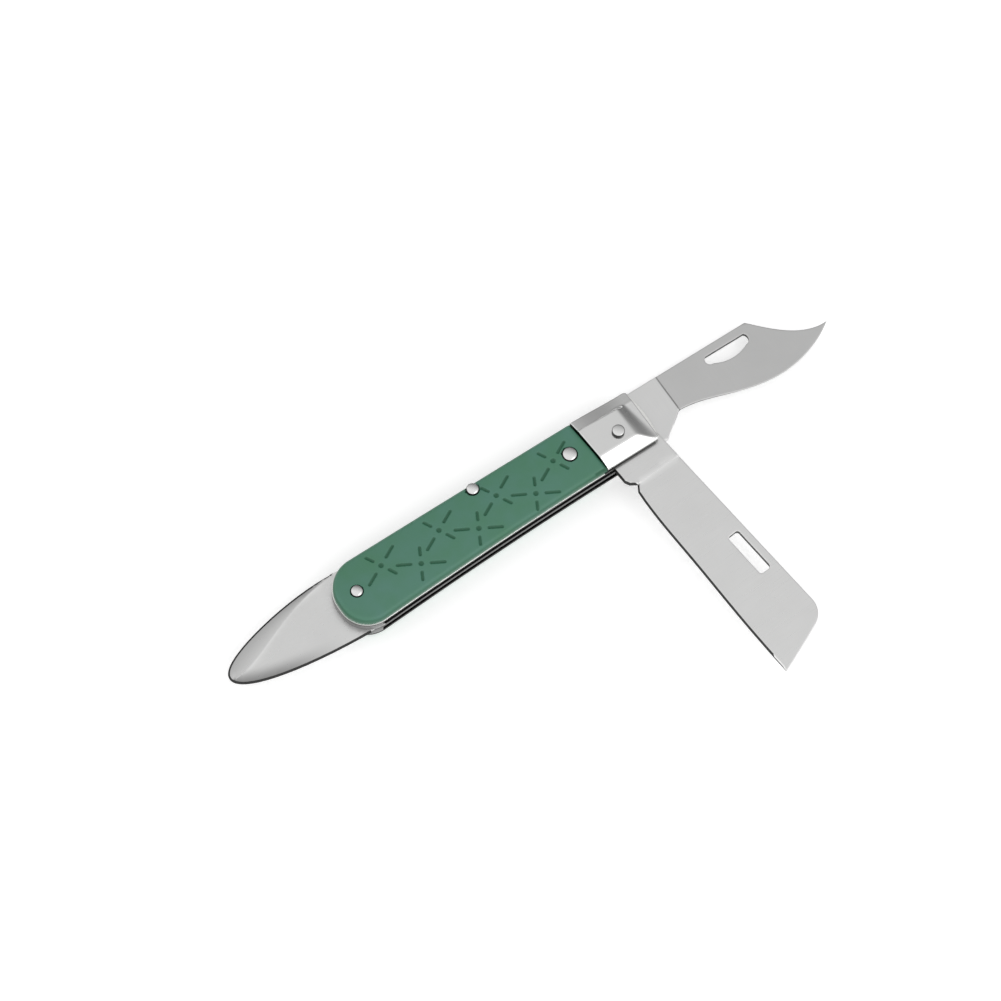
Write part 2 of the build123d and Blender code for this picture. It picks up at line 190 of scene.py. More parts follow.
def grid(low, high, spacing):
    """A triangular grid of points over a rectangle."""
    rows = []
    for j, y in enumerate(np.arange(low[1], high[1], spacing * 0.87)):
        xs = np.arange(low[0] + (j % 2) * spacing / 2, high[0], spacing)
        rows.append(np.stack([xs, np.full(len(xs), y)], axis=1))
    return np.concatenate(rows)


def thin_out(points, least):
    """The points, without those that crowd an earlier one."""
    kept, cells = [], {}
    for x, y in points:
        cell = (int(x // least), int(y // least))
        near = (cells.get((cell[0] + i, cell[1] + j), ()) for i in (-1, 0, 1) for j in (-1, 0, 1))
        if any((x - u) ** 2 + (y - v) ** 2 < least**2 for group in near for u, v in group):
            continue
        cells.setdefault(cell, []).append((x, y))
        kept.append((x, y))
    return np.array(kept)


class Relief:
    """A flat piece with a worked surface: an outline, points inside it and a height for each."""

    def __init__(self, loops, edge_rows, spacing, extra=()):
        """edge_rows gives how far inside the outline each close row of points lies."""
        self.loops = loops
        self.starts = np.concatenate(loops)
        self.ends = np.concatenate([np.roll(loop, -1, axis=0) for loop in loops])
        rows = []
        for offset in edge_rows:
            for loop in loops:
                row = inset(loop, offset)
                rows.append(row[self.to_edge(row) > offset * 0.93])
        fine = np.concatenate(rows + [np.array(group, float).reshape(-1, 2) for group in extra])
        fine = thin_out(fine, FINE_GAP)
        low, high = self.starts.min(0), self.starts.max(0)
        spread = thin_out(np.concatenate([self.starts, fine, grid(low, high, spacing)]), spacing * 0.55)
        crowded = {tuple(point) for point in np.concatenate([self.starts, fine])}
        spread = np.array([point for point in spread if tuple(point) not in crowded]).reshape(-1, 2)
        points = np.concatenate([fine, spread])
        points = points[self.to_edge(points) > 0.02]
        self.points, self.faces = self.triangulate(np.concatenate([self.starts, points]))
        self.depth = self.to_edge(self.points)

    def to_edge(self, points):
        return distance(points, self.starts, self.ends)

    def triangulate(self, points):
        """The Delaunay triangles of the points that lie within the outline."""
        edges, first = [], 0
        for loop in self.loops:
            count = len(loop)
            edges += [(first + i, first + (i + 1) % count) for i in range(count)]
            first += count
        made, _, cells, *_ = delaunay_2d_cdt([Vector(p) for p in points], edges, [], 0, 1e-5)
        made = np.array([tuple(v) for v in made])
        cells = np.array(cells)
        return made, cells[self.holds(made[cells].mean(axis=1))]

    def holds(self, points):
        """True for each point within the outline, counting how often a ray crosses it."""
        crossings = np.zeros(len(points), int)
        for a, b in zip(self.starts, self.ends):
            if a[1] != b[1]:
                between = (a[1] > points[:, 1]) != (b[1] > points[:, 1])
                x = a[0] + (points[:, 1] - a[1]) * (b[0] - a[0]) / (b[1] - a[1])
                crossings += between & (points[:, 0] < x)
        return crossings % 2 == 1

    def rounding(self, edge_r):
        """How far a rounded edge lies below the surface, for each point."""
        short = np.clip(edge_r - self.depth, 0, edge_r)
        return edge_r - np.sqrt(edge_r**2 - short**2)

    def solid(self, name, top, bottom, marks=None, zones=None, walls_take=None):
        """A closed mesh between two surfaces, given as a height for each point. A face takes the
        material that the lowest of its corners' zones names, and walls_take names each wall's from its
        middle and its outward direction."""
        count = len(self.points)
        upper = np.column_stack([self.points, np.broadcast_to(top, count)])
        lower = np.column_stack([self.points, np.broadcast_to(bottom, count)])
        corners = (np.concatenate([upper, lower]) + PIVOT) * MM
        over = self.faces.tolist()
        under = [(a + count, c + count, b + count) for a, b, c in over]
        walls = [(b, a, a + count, b + count) for a, b in boundary(over)]
        mesh = bpy.data.meshes.new(name)
        mesh.from_pydata(corners.tolist(), [], over + under + walls)
        mesh.polygons.foreach_set("use_smooth", [True] * len(mesh.polygons))
        painted_shade_zone = np.zeros(len(over), int) if zones is None else zones[self.faces].min(axis=1)
        sides = np.array([self.points[list(wall[1::-1])] for wall in walls])
        along = sides[:, 1] - sides[:, 0]
        out = np.stack([along[:, 1], -along[:, 0]], axis=1) / np.linalg.norm(along, axis=1)[:, None]
        upright = np.ones(len(walls), int) if walls_take is None else walls_take(sides.mean(axis=1), out)
        mesh.polygons.foreach_set("material_index", np.concatenate([painted_shade_zone, painted_shade_zone, upright]))
        mesh.set_sharp_from_angle(angle=SHARP_ANGLE)
        if marks is not None:
            # The mark is stored on the points for the materials to darken by: painted shade.
            attribute = mesh.attributes.new("painted_shade_mark", "FLOAT", "POINT")
            attribute.data.foreach_set("value", np.concatenate(marks).astype(np.float32))
        return add_object(name, mesh)


def soft_min(a, b, width):
    """The lower of two heights, with the crease between them rounded over width."""
    h = np.clip(0.5 + 0.5 * (b - a) / width, 0, 1)
    return b + (a - b) * h - width * h * (1 - h)


def smooth_step(x, start, end):
    t = np.clip((x - start) / (end - start), 0, 1)
    return t * t * (3 - 2 * t)


def settle(made, node, slot, *surfaces):
    """Puts a finished piece in place of its CAD node, with its materials."""
    for surface in surfaces:
        made.data.materials.append(surface)
    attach(made, BODY_OF[node])
    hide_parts(node)


def blade_turn(joint):
    """The angle a blade is turned by at rest, from fully open."""
    return -math.radians(JOINTS[joint]["range_deg"][1])


def to_blade(points, turn):
    """(p, q): along the blade from the pivot, and across it towards its back."""
    c, s = math.cos(turn), math.sin(turn)
    return points[:, 0] * c + points[:, 1] * s, points[:, 1] * c - points[:, 0] * s


def from_blade(points, turn):
    c, s = math.cos(turn), math.sin(turn)
    points = np.array(points, float)
    return np.stack([points[:, 0] * c - points[:, 1] * s, points[:, 0] * s + points[:, 1] * c], axis=1)


def row(start, end, step):
    """Points along a line."""
    start, end = np.array(start, float), np.array(end, float)
    count = max(2, round(float(np.linalg.norm(end - start)) / step))
    return start + (end - start) * np.linspace(0, 1, count)[:, None]


def keep_inside(points, loops):
    """True for each point within the first loop's box."""
    low, high = loops[0].min(0), loops[0].max(0)
    return np.all((points > low) & (points < high), axis=1)


# ---------------------------------------------------------------- materials

class Surface:
    """A Principled material, with short calls for the nodes that drive it."""

    def __init__(self, name, colour, roughness, metallic=0.0):
        self.material = bpy.data.materials.new(name)
        self.material.use_nodes = True
        self.nodes = self.material.node_tree.nodes
        self.links = self.material.node_tree.links
        self.shader = self.nodes["Principled BSDF"]
        self.shader.inputs["Base Color"].default_value = (*colour, 1)
        self.shader.inputs["Roughness"].default_value = roughness
        self.shader.inputs["Metallic"].default_value = metallic

    def node(self, kind, **settings):
        made = self.nodes.new(kind)
        for name, value in settings.items():
            setattr(made, name, value)
        return made

    def noise(self, size, detail=2.0, turn=0.0):
        """Noise with features of the given size, in millimetres along each axis."""
        place = self.node("ShaderNodeTexCoord")
        frame_of = self.node("ShaderNodeMapping")
        frame_of.inputs["Rotation"].default_value = (0, 0, -turn)
        stretch = self.node("ShaderNodeMapping")
        stretch.inputs["Scale"].default_value = [1 / (MM * s) for s in size]
        noise = self.node("ShaderNodeTexNoise")
        noise.inputs["Scale"].default_value = 1
        noise.inputs["Detail"].default_value = detail
        self.links.new(place.outputs["Object"], frame_of.inputs["Vector"])
        self.links.new(frame_of.outputs["Vector"], stretch.inputs["Vector"])
        self.links.new(stretch.outputs["Vector"], noise.inputs["Vector"])
        return noise.outputs["Fac"]

    def spread(self, value, low, high, start=0.3, end=0.7):
        """The value, from start to end, as a number from low to high."""
        ramp = self.node("ShaderNodeMapRange")
        for name, number in (("From Min", start), ("From Max", end), ("To Min", low), ("To Max", high)):
            ramp.inputs[name].default_value = number
        self.links.new(value, ramp.inputs["Value"])
        return ramp.outputs["Result"]

    def blend(self, value, first, second):
        """A colour between two, where value goes from 0 to 1. Each is a colour or a node's output."""
        mix = self.node("ShaderNodeMix", data_type="RGBA")
        self.links.new(value, mix.inputs["Factor"])
        for colour, socket in ((first, "A"), (second, "B")):
            target = next(i for i in mix.inputs if i.name == socket and i.type == "RGBA")
            if isinstance(colour, tuple):
                target.default_value = (*colour, 1)
            else:
                self.links.new(colour, target)
        return next(o for o in mix.outputs if o.type == "RGBA")

    def drive(self, socket, value):
        self.links.new(value, self.shader.inputs[socket])

    def bump(self, value, depth, strength=1.0):
        bump = self.node("ShaderNodeBump")
        bump.inputs["Distance"].default_value = depth * MM
        bump.inputs["Strength"].default_value = strength
        self.links.new(value, bump.inputs["Height"])
        self.links.new(bump.outputs["Normal"], self.shader.inputs["Normal"])

    def darken(self, colour, value, factor):
        """The colour, multiplied by factor where value is 1."""
        mix = self.node("ShaderNodeMix", data_type="RGBA", blend_type="MULTIPLY")
        self.links.new(value, mix.inputs["Factor"])
        first, second = (i for i in mix.inputs if i.type == "RGBA")
        self.links.new(colour, first)
        second.default_value = (factor, factor, factor, 1)
        return next(o for o in mix.outputs if o.type == "RGBA")

    def coordinate(self, axis, operation="ADD"):
        """The piece's own coordinate along an axis, from the pivot, or what an operation makes of it."""
        place = self.node("ShaderNodeTexCoord")
        split = self.node("ShaderNodeSeparateXYZ")
        lower = self.node("ShaderNodeMath", operation="SUBTRACT")
        made = self.node("ShaderNodeMath", operation=operation)
        lower.inputs[1].default_value = PIVOT["XYZ".index(axis)] * MM
        made.inputs[1].default_value = 0
        self.links.new(place.outputs["Object"], split.inputs[0])
        self.links.new(split.outputs[axis], lower.inputs[0])
        self.links.new(lower.outputs[0], made.inputs[0])
        return made.outputs[0]

    def painted_liner_shade(self):
        """1 where a liner is painted near black as shade: inside the handle and along the opening edge of the
        bolster.
        """
        height = self.coordinate("Z", "ABSOLUTE")
        within = self.spread(height, 1, 0, (LINER_FACE - 0.13) * MM, (LINER_FACE - 0.03) * MM)
        beside = self.spread(self.coordinate("X"), 0, 1, (JUNCTION_X - 0.2) * MM, JUNCTION_X * MM)
        under = self.spread(self.coordinate("Y"), 1, 0, (UNDER_BOLSTER_Y - 0.2) * MM, UNDER_BOLSTER_Y * MM)
        corner = self.node("ShaderNodeMath", operation="MULTIPLY")
        either = self.node("ShaderNodeMath", operation="MAXIMUM")
        self.links.new(beside, corner.inputs[0])
        self.links.new(under, corner.inputs[1])
        self.links.new(within, either.inputs[0])
        self.links.new(corner.outputs[0], either.inputs[1])
        return either.outputs[0]

    def attribute(self, name):
        return self.node("ShaderNodeAttribute", attribute_name=name).outputs["Fac"]


def shade(colour, factor):
    return tuple(channel * factor for channel in colour)


def brushed_steel(
    name, colour, roughness, grain, turn=0.0, contrast=0.06, depth=0.0015, ground=1.0, painted_liner_shade=False
):
    """Steel with grinding lines. grain is the size of a line along x, y and z of the turned frame. Where
    the piece is marked for painted shade its colour is multiplied by ground, and the liner flag paints a
    liner near black inside the handle and beside the bolster: painted shade too."""
    steel = Surface(name, colour, roughness, 1.0)
    lines = steel.noise(grain, 3.0, turn)
    clouds = steel.noise((9, 9, 9), 2.0)
    tone = steel.blend(lines, shade(colour, 1 - contrast), shade(colour, 1 + contrast))
    wear_and_painted_shade = steel.blend(steel.spread(clouds, 0, 0.5), tone, shade(colour, 1 - contrast))
    if ground != 1.0:
        # Random wear above; here the marked parts are darkened by ground: painted shade.
        wear_and_painted_shade = steel.darken(wear_and_painted_shade, steel.attribute("painted_shade_mark"), ground)
    if painted_liner_shade:
        wear_and_painted_shade = steel.darken(wear_and_painted_shade, steel.painted_liner_shade(), 0.05)
    steel.drive("Base Color", wear_and_painted_shade)
    steel.drive("Roughness", steel.spread(lines, roughness - 0.06, roughness + 0.08))
    steel.bump(lines, depth)
    return steel.material


def moulded_plastic(name, colour):
    """Satin plastic, with a fine moulded grain, faint clouds of colour, and painted shade: darker green in the
    grooves and wherever else the piece is marked.
    """
    plastic = Surface(name, colour, 0.42)
    clouds = plastic.noise((7, 7, 7), 3.0)
    grain = plastic.noise((0.16, 0.16, 0.16), 2.0)
    body = plastic.blend(plastic.spread(clouds, 0, 1), colour, BLUISH)
    painted_shade_mark = plastic.attribute("painted_shade_mark")
    plastic.drive("Base Color", plastic.blend(painted_shade_mark, body, PAINTED_SHADE_GREEN))
    plastic.drive("Roughness", plastic.spread(grain, 0.38, 0.5))
    plastic.bump(grain, 0.006)
    return plastic.material


GREEN = (0.062, 0.2, 0.118)
BLUISH = (0.075, 0.21, 0.155)
# Darker green for the grooves, pin seats, rim and bolster joint: painted shade.
PAINTED_SHADE_GREEN = (0.014, 0.102, 0.05)
STEEL = (0.78, 0.78, 0.775)
LINER_FACE = span("front_liner", 2)[1]
JUNCTION_X = span("front_bolster", 0)[0]
UNDER_BOLSTER_Y = -6.9
STRAIGHT_TURN = blade_turn("straight_blade_pivot")
CURVED_TURN = blade_turn("curved_blade_pivot")
ACROSS = (0.09, 14, 14)
ALONG = (14, 0.09, 14)

plastic = moulded_plastic("green_plastic", GREEN)
polished = brushed_steel("polished_steel", STEEL, 0.16, ALONG, contrast=0.03, depth=0.0004)
# The liners' faces inside the handle and beside the bolster's opening edge are painted near black: painted shade.
liner_steel = brushed_steel("liner_steel", (0.88, 0.88, 0.86), 0.28, ALONG, painted_liner_shade=True)
# The springs' steel is a third as bright as the blades': painted shade between the liners.
spring_steel = brushed_steel("spring_steel", shade(STEEL, 0.35), 0.4, ALONG)
# The opener's marked zones are darkened to 0.42 of its colour: painted shade.
opener_steel = brushed_steel(
    "opener_steel", shade(STEEL, 0.96), 0.33, (1.2, 0.5, 1), contrast=0.05, ground=0.42
)
straight_steel = brushed_steel("straight_blade_steel", STEEL, 0.33, ACROSS, STRAIGHT_TURN)
# Its ground part is darkened to 0.77 of its colour: painted shade.
curved_steel = brushed_steel("curved_blade_steel", STEEL, 0.36, ACROSS, CURVED_TURN, ground=0.77)
# Near-black steel for walls, edge bevels and pin-head rims: painted shade.
painted_shade_steel = brushed_steel("painted_shade_edge_steel", shade(STEEL, 0.07), 0.45, (1.5, 1.5, 0.08))
# Grey steel for the plate's walls and near-black steel for its faces inside the handle: painted shade.
plate_edge_painted_shade = brushed_steel("plate_edge_steel", shade(STEEL, 0.22), 0.45, (1.5, 1.5, 0.08))
channel_painted_shade = brushed_steel("channel_painted_shade", shade(STEEL, 0.03), 0.6, (1.5, 1.5, 0.5))
pin_steel = brushed_steel("pin_steel", STEEL, 0.18, (0.6, 0.6, 0.6), contrast=0.05)


# ---------------------------------------------------------------- scales

# The moulded grip pattern: a plain row of crosses that lean by turns to one side and the other. Each is a
# dot with strokes around it, as (angle, start, end).
CROSS_ARMS = [(0, 2.7, 6.2), (90, 2.4, 4.4), (180, 2.7, 6.2), (270, 2.4, 4.4)]
CROSS_COUNT = 7
CROSS_START_X = -19.0
CROSS_SPACING = 9.0
CROSS_Y = 2.6
CROSS_LEAN = 28
CROSSES = [
    (
        (CROSS_START_X - CROSS_SPACING * i, CROSS_Y * (-1) ** i),
        [(angle + CROSS_LEAN * (-1) ** i, start, end) for angle, start, end in CROSS_ARMS],
    )
    for i in range(CROSS_COUNT)
]
GROOVE_DEPTH = 0.35
GROOVE_FLOOR = 0.14
GROOVE_LIP = 0.58
DOT_R = 0.3
GROOVE_ROWS = (0.0, 0.14, 0.27, 0.4, 0.5, 0.6, 0.72)
CROWN_R = 75.0
SCALE_EDGE_R = 1.2
SCALE_EDGE_ROWS = (0.06, 0.2, 0.42, 0.7, 1.0, 1.25)
SEAT_GAP = 0.12
SEAT_DEPTH = 0.9
JOINT_SHADE_W, JOINT_SHADE_GROWTH, JOINT_SHADE_REACH = 0.45, 0.06, 3


def strokes():
    """(start, end, half width) of every stroke and dot of the grip pattern."""
    for centre, arms in CROSSES:
        yield centre, centre, DOT_R
        for angle, start, end in arms:
            way = np.array([math.cos(math.radians(angle)), math.sin(math.radians(angle))])
            yield centre + way * start, centre + way * end, 0.0


def seats(side):
    """(centre, radius) of the seat of each pin head in a scale."""
    rivet = "front_scale_rivet" if side == FRONT else "back_scale_rivet"
    for node in ("spring_pin", "tail_pin", rivet):
        x, y = span(node, 0), span(node, 1)
        yield np.array([sum(x) / 2, sum(y) / 2]), (x[1] - x[0]) / 2 + SEAT_GAP


def make_scale(node, side):
    loop = resample(silhouette(node, -side)[0], 0.5)
    extra = []
    for start, end, width in strokes():
        extra += [capsule(start, end, width + reach, 0.45) for reach in GROOVE_ROWS]
    for centre, radius in seats(side):
        extra += [capsule(centre, centre, radius + reach, 1) for reach in (-0.1, -0.02, 0.05, 0.12, 0.25)]
    relief = Relief([loop], [SCALE_EDGE_R * share for share in SCALE_EDGE_ROWS], 1.1, extra)
    points = relief.points
    groove = np.zeros(len(points))
    for start, end, width in strokes():
        away = distance(points, [np.array(start)], [np.array(end)]) - width
        groove = np.maximum(groove, 1 - smooth_step(away, GROOVE_FLOOR, GROOVE_LIP))
    seat = np.zeros(len(points))
    for centre, radius in seats(side):
        seat = np.maximum(seat, 1 - smooth_step(np.hypot(*(points - centre).T), radius - 0.04, radius + 0.1))
    low, high = (side * value for value in span(node, 2)[::side])
    crown = CROWN_R - np.sqrt(CROWN_R**2 - points[:, 1] ** 2)
    height = high - crown - relief.rounding(SCALE_EDGE_R) - GROOVE_DEPTH * groove
    height = np.maximum(height - SEAT_DEPTH * seat, low + 0.2)
    # The green is darkened in the grooves, round the pin seats, beside the bolster and along the rim: painted
    # shade.
    near_joint = points[:, 0] > JUNCTION_X - JOINT_SHADE_REACH
    joint_w = JOINT_SHADE_W + JOINT_SHADE_GROWTH * np.maximum(-points[:, 1], 0)
    joint = (1 - smooth_step(relief.depth, 0.6 * joint_w, joint_w)) * near_joint
    shaded_rim = 0.7 * (1 - smooth_step(relief.depth, 0.15, 0.6))
    marks = np.max([groove, seat, joint, shaded_rim], axis=0)
    blank = np.zeros(len(points))
    if side == FRONT:
        made = relief.solid(node + "_moulded", height, low, (marks, blank))
    else:
        made = relief.solid(node + "_moulded", -low, -height, (blank, marks))
    settle(made, node, "scale_plastic", plastic, plastic)


make_scale("front_scale", FRONT)
make_scale("back_scale", BACK)


# ---------------------------------------------------------------- bolsters

FACET_Y, FACET_SLOPE, FACET_RIM = -3.1, 0.42, 0.7
STRIP_Y, STRIP_SLOPE = 5.9, 0.17
STRIP_LIP = 0.14
LIP_W = 0.1
LIP_ROWS = (-0.5, -0.38, -0.26, -0.17, -0.09, 0.0, 0.09, 0.17, 0.26, 0.38, 0.5)
# A wall of a bolster is polished where it faces this way by more than this share, and elsewhere takes the
# near-black steel of painted shade.
SPINE_WAY = np.array((0.5, 0.86))
SPINE_SHARE = 0.3
STEP_START_X, STEP_END_X, STEP_SLANT = 3.0, 7.6, 0.19
STEP_DROP = 1.45
CREASE = 0.12
BOLSTER_EDGE_R = 0.22
BOLSTER_EDGE_ROWS = (0.07, 0.15, 0.24, 0.36)


def make_bolster(node, side):
    loop = resample(silhouette(node, -side)[0], 0.35)
    creases = [row((loop[:, 0].min(), STRIP_Y + y), (STEP_END_X + 1, STRIP_Y + y), 0.2) for y in LIP_ROWS]
    relief = Relief([loop], BOLSTER_EDGE_ROWS, 0.34, [r[keep_inside(r, [loop])] for r in creases])
    x, y = relief.points.T
    junction = loop[:, 0].min()
    low, high = (side * value for value in span(node, 2)[::side])
    facing = smooth_step(x, junction + FACET_RIM / 2, junction + 1.5 * FACET_RIM)
    facet = high - FACET_SLOPE * np.maximum(FACET_Y - y, 0) * facing
    step_end = STEP_END_X - STEP_SLANT * y
    step = high - STEP_DROP * smooth_step(x, STEP_START_X, step_end)
    top = soft_min(step, facet, CREASE)
    forward = smooth_step(x, junction, STEP_END_X - STEP_SLANT * STRIP_Y)
    strip = high - STRIP_SLOPE * (y - STRIP_Y) - STRIP_LIP - (STEP_DROP - STRIP_LIP) * forward
    lip_w = LIP_W + (LIP_ROWS[-1] - LIP_W) * forward
    beyond = smooth_step(y, STRIP_Y - lip_w, STRIP_Y + lip_w)
    height = top + (strip - top) * beyond - relief.rounding(BOLSTER_EDGE_R)
    top_side, under_side = (height, low) if side == FRONT else (-low, -height)
    made = relief.solid(
        node + "_ground", top_side, under_side, walls_take=lambda middle, out: out @ SPINE_WAY < SPINE_SHARE
    )
    settle(made, node, "bolster_steel", polished, painted_shade_steel)


make_bolster("front_bolster", FRONT)
make_bolster("back_bolster", BACK)


# ---------------------------------------------------------------- blades

PLUNGE_ROWS = (-0.5, -0.1, 0.25, 0.5, 0.75, 1.0, 1.5)
BLADE_EDGE_R = 0.14
BLADE_EDGE_ROWS = (0.06, 0.14, 0.4, 0.5)
KEEN_HALF = 0.05
BEVEL_TOP = (15.0, 18.0, 60.0, 77.0), (-3.9, -5.0, -5.6, -6.2)
BEVEL_START_P = 5.0


def make_blade(node, turn, plunge, section, bevel_w, steel):
    """plunge gives where the ground part starts and how long the slope to it is, section the ground
    part's half thickness across q, from edge to back, and bevel_w the width of the bevel at the edge."""
    plunge_p, plunge_w = plunge
    loops = [resample(loop, 0.7) for loop in silhouette(node, FRONT)]
    at = [plunge_p + share * plunge_w for share in PLUNGE_ROWS]
    rows = [from_blade(row((p, -9), (p, 13), 0.4), turn) for p in at]
    relief = Relief(loops, BLADE_EDGE_ROWS, 1.6, [r[keep_inside(r, loops)] for r in rows])
    low, high = span(node, 2)
    middle, full = (low + high) / 2, (high - low) / 2
    p, q = to_blade(relief.points, turn)
    ground = smooth_step(p, plunge_p, plunge_p + plunge_w)
    half = full + (np.minimum(np.interp(q, *zip(*section)), full) - full) * ground
    half -= relief.rounding(BLADE_EDGE_R)
    # The faces of the edge bevel take the near-black steel: painted shade.
    rim = (relief.depth < bevel_w + 0.03) & (q < np.interp(p, *BEVEL_TOP)) & (p > BEVEL_START_P)
    bevel = KEEN_HALF + (half - KEEN_HALF) * np.clip(relief.depth / max(bevel_w, 0.01), 0, 1)
    half = np.maximum(np.where(rim, bevel, half), KEEN_HALF)
    back = from_blade([(0, 1)], turn)[0]
    outer = loops[0]

    # Every wall but the back's takes the near-black steel: painted shade.
    def walls_take(middles, out):
        on_back = (out @ back > 0.3) & (distance(middles, outer, np.roll(outer, -1, axis=0)) < 0.01)
        return 1 - on_back.astype(int)

    # The ground part is marked for painted shade, which only the curved blade's steel darkens.
    marks = (ground, ground)
    made = relief.solid(node + "_ground", middle + half, middle - half, marks, rim.astype(int), walls_take)
    settle(made, node, "blade_steel", steel, painted_shade_steel)


make_blade("straight_blade", STRAIGHT_TURN, (13.8, 0.16), [(-6.5, 0.72), (12.9, 0.8)], 0.4, straight_steel)
make_blade("curved_blade", CURVED_TURN, (19.3, 0.42), [(-8.0, 0.15), (11.0, 0.8)], 0.0, curved_steel)


# ---------------------------------------------------------------- centre plate with the bark opener

RIDGE = [(-84.0, 8.9), (-98.0, 8.2), (-108.0, 2.0), (-114.0, -1.2), (-120.0, -1.5)]
RIDGE_OFFSETS = (-0.5, -0.22, 0.0, 0.22, 0.5)
RIDGE_PROUD = 0.1
CHANNEL_END_X = -80.0
RIM_W = 0.5
RIM_HALF = 0.32
OPENER_EDGE_ROWS = (0.14, 0.32, 0.5, 0.64)


def bezier(controls, count):
    """Points along a Bezier curve."""
    t = np.linspace(0, 1, count)[:, None]
    degree = len(controls) - 1
    return sum(
        math.comb(degree, i) * (1 - t) ** (degree - i) * t**i * np.array(control)
        for i, control in enumerate(controls)
    )


def make_opener(node):
    loops = [resample(loop, 0.6) for loop in silhouette(node, FRONT)]
    ridge = bezier(RIDGE, 90)
    relief = Relief(loops, OPENER_EDGE_ROWS, 1.0, [ridge + (0, offset) for offset in RIDGE_OFFSETS])
    x, y = relief.points.T
    low, high = span(node, 2)
    middle, full = (low + high) / 2, (high - low) / 2
    ridge_y = np.interp(x, ridge[::-1, 0], ridge[::-1, 1])
    tongue = smooth_step(-x, -RIDGE[0][0], 8 - RIDGE[0][0])
    inner = np.maximum(relief.depth - RIM_W, 0)
    over = np.clip((y - ridge_y) / np.maximum(y - ridge_y + inner, 0.4), 0, 1)
    half = full - (full - RIM_HALF) * over * tongue
    half -= RIDGE_PROUD * smooth_step(ridge_y - y, 0, 0.55) * tongue
    # The thin rim and the walls outside the handle take the near-black steel: painted shade.
    rim = (relief.depth < RIM_W + 0.03) & (x < RIDGE[0][0])
    half = np.where(rim, KEEN_HALF + (half - KEEN_HALF) * np.clip(relief.depth / RIM_W, 0, 1), half)
    half = half - relief.rounding(BLADE_EDGE_R) * ~rim
    # Towards the tip below the ridge, and on the facet above the ridge, the steel is darkened: painted shade.
    edge_side = 1 - smooth_step(relief.depth, 0.3, 4.5)
    painted_shade_zone = np.clip(edge_side * smooth_step(-x, 90, 112) * (y < ridge_y) + 0.5 * over * tongue, 0, 1)
    # Inside the handle the plate's faces take the near-black channel steel and its walls the grey edge steel:
    # painted shade.
    zones = np.where(rim, 1, np.where(x > CHANNEL_END_X, 3, 0))
    made = relief.solid(
        node + "_ground",
        middle + half,
        middle - half,
        (painted_shade_zone, painted_shade_zone),
        zones,
        lambda middles, out: np.where(middles[:, 0] > RIDGE[0][0], 2, 1),
    )
    settle(made, node, "opener_steel", opener_steel, painted_shade_steel, plate_edge_painted_shade, channel_painted_shade)


make_opener("bark_opener_plate")


# ---------------------------------------------------------------- pins and rivets

# Width of the near-black ring of painted shade round the rim of each pin head.
PAINTED_SHADE_RING = 0.22


def lathe(name, centre, profile, segments=48):
    """A turned piece from (radius, height) pairs, from its lowest point to its highest. The rim of its
    heads takes the second material, a near-black ring of painted shade."""
    corners, faces = [], []
    for radius, height in profile:
        for i in range(segments):
            turn = 2 * math.pi * i / segments
            spot = (centre[0] + radius * math.cos(turn), centre[1] + radius * math.sin(turn), height)
            corners.append(tuple((np.array(spot) + PIVOT) * MM))
    for level in range(len(profile) - 1):
        for i in range(segments):
            a, b = level * segments + i, level * segments + (i + 1) % segments
            faces.append((a, b, b + segments, a + segments))
    faces.append(tuple(range(segments))[::-1])
    faces.append(tuple(range(len(corners) - segments, len(corners))))
    mesh = bpy.data.meshes.new(name)
    mesh.from_pydata(corners, [], faces)
    ring = max(radius for radius, _ in profile) - PAINTED_SHADE_RING
    dark = [int(min(profile[level][0], profile[level + 1][0]) > ring) for level in range(len(profile) - 1)]
    mesh.polygons.foreach_set("use_smooth", [True] * len(mesh.polygons))
    mesh.polygons.foreach_set("material_index", [index for index in dark for _ in range(segments)] + [0, 0])
    mesh.set_sharp_from_angle(angle=SHARP_ANGLE)
    return add_object(name, mesh)


def dome(radius, seat, top, wall_share, flat=0.25, steps=7):
    """The profile of a domed head, from its seat outwards and up to its crown."""
    wall = seat + (top - seat) * wall_share
    made = [(radius, seat), (radius, wall)]
    for i in range(1, steps + 1):
        turn = math.pi / 2 * i / steps * (1 - flat * 0.4)
        made.append((radius * math.cos(turn), wall + (top - wall) * math.sin(turn)))
    return made


def make_pin(node, shank_r, seats_at, wall_share=0.45):
    """A pin with a head at each end for which seats_at gives the height of the head's underside."""
    x, y, z = (span(node, axis) for axis in range(3))
    centre, radius = (sum(x) / 2, sum(y) / 2), (x[1] - x[0]) / 2
    low, high = z
    lower, upper = seats_at
    below, above = [(shank_r, low)], [(shank_r, high)]
    if lower is not None:
        below = [(r, -h) for r, h in dome(radius, -lower, -low, wall_share)][::-1]
    if upper is not None:
        above = dome(radius, upper, high, wall_share)
    shank = [(shank_r, seat) for seat in seats_at if seat is not None]
    made = lathe(node + "_turned", centre, below + shank + above)
    settle(made, node, "pin_steel", pin_steel, painted_shade_steel)


SEAT_Z = 5.4
make_pin("spring_pin", 1.1, (-5.0, SEAT_Z))
make_pin("tail_pin", 1.0, (-5.0, SEAT_Z))
make_pin("front_scale_rivet", 1.2, (None, SEAT_Z))
make_pin("back_scale_rivet", 1.2, (-5.0, None))
make_pin("pivot_pin", 1.5, (None, span("front_bolster", 2)[1]), 0.75)


# ---------------------------------------------------------------- liners and springs

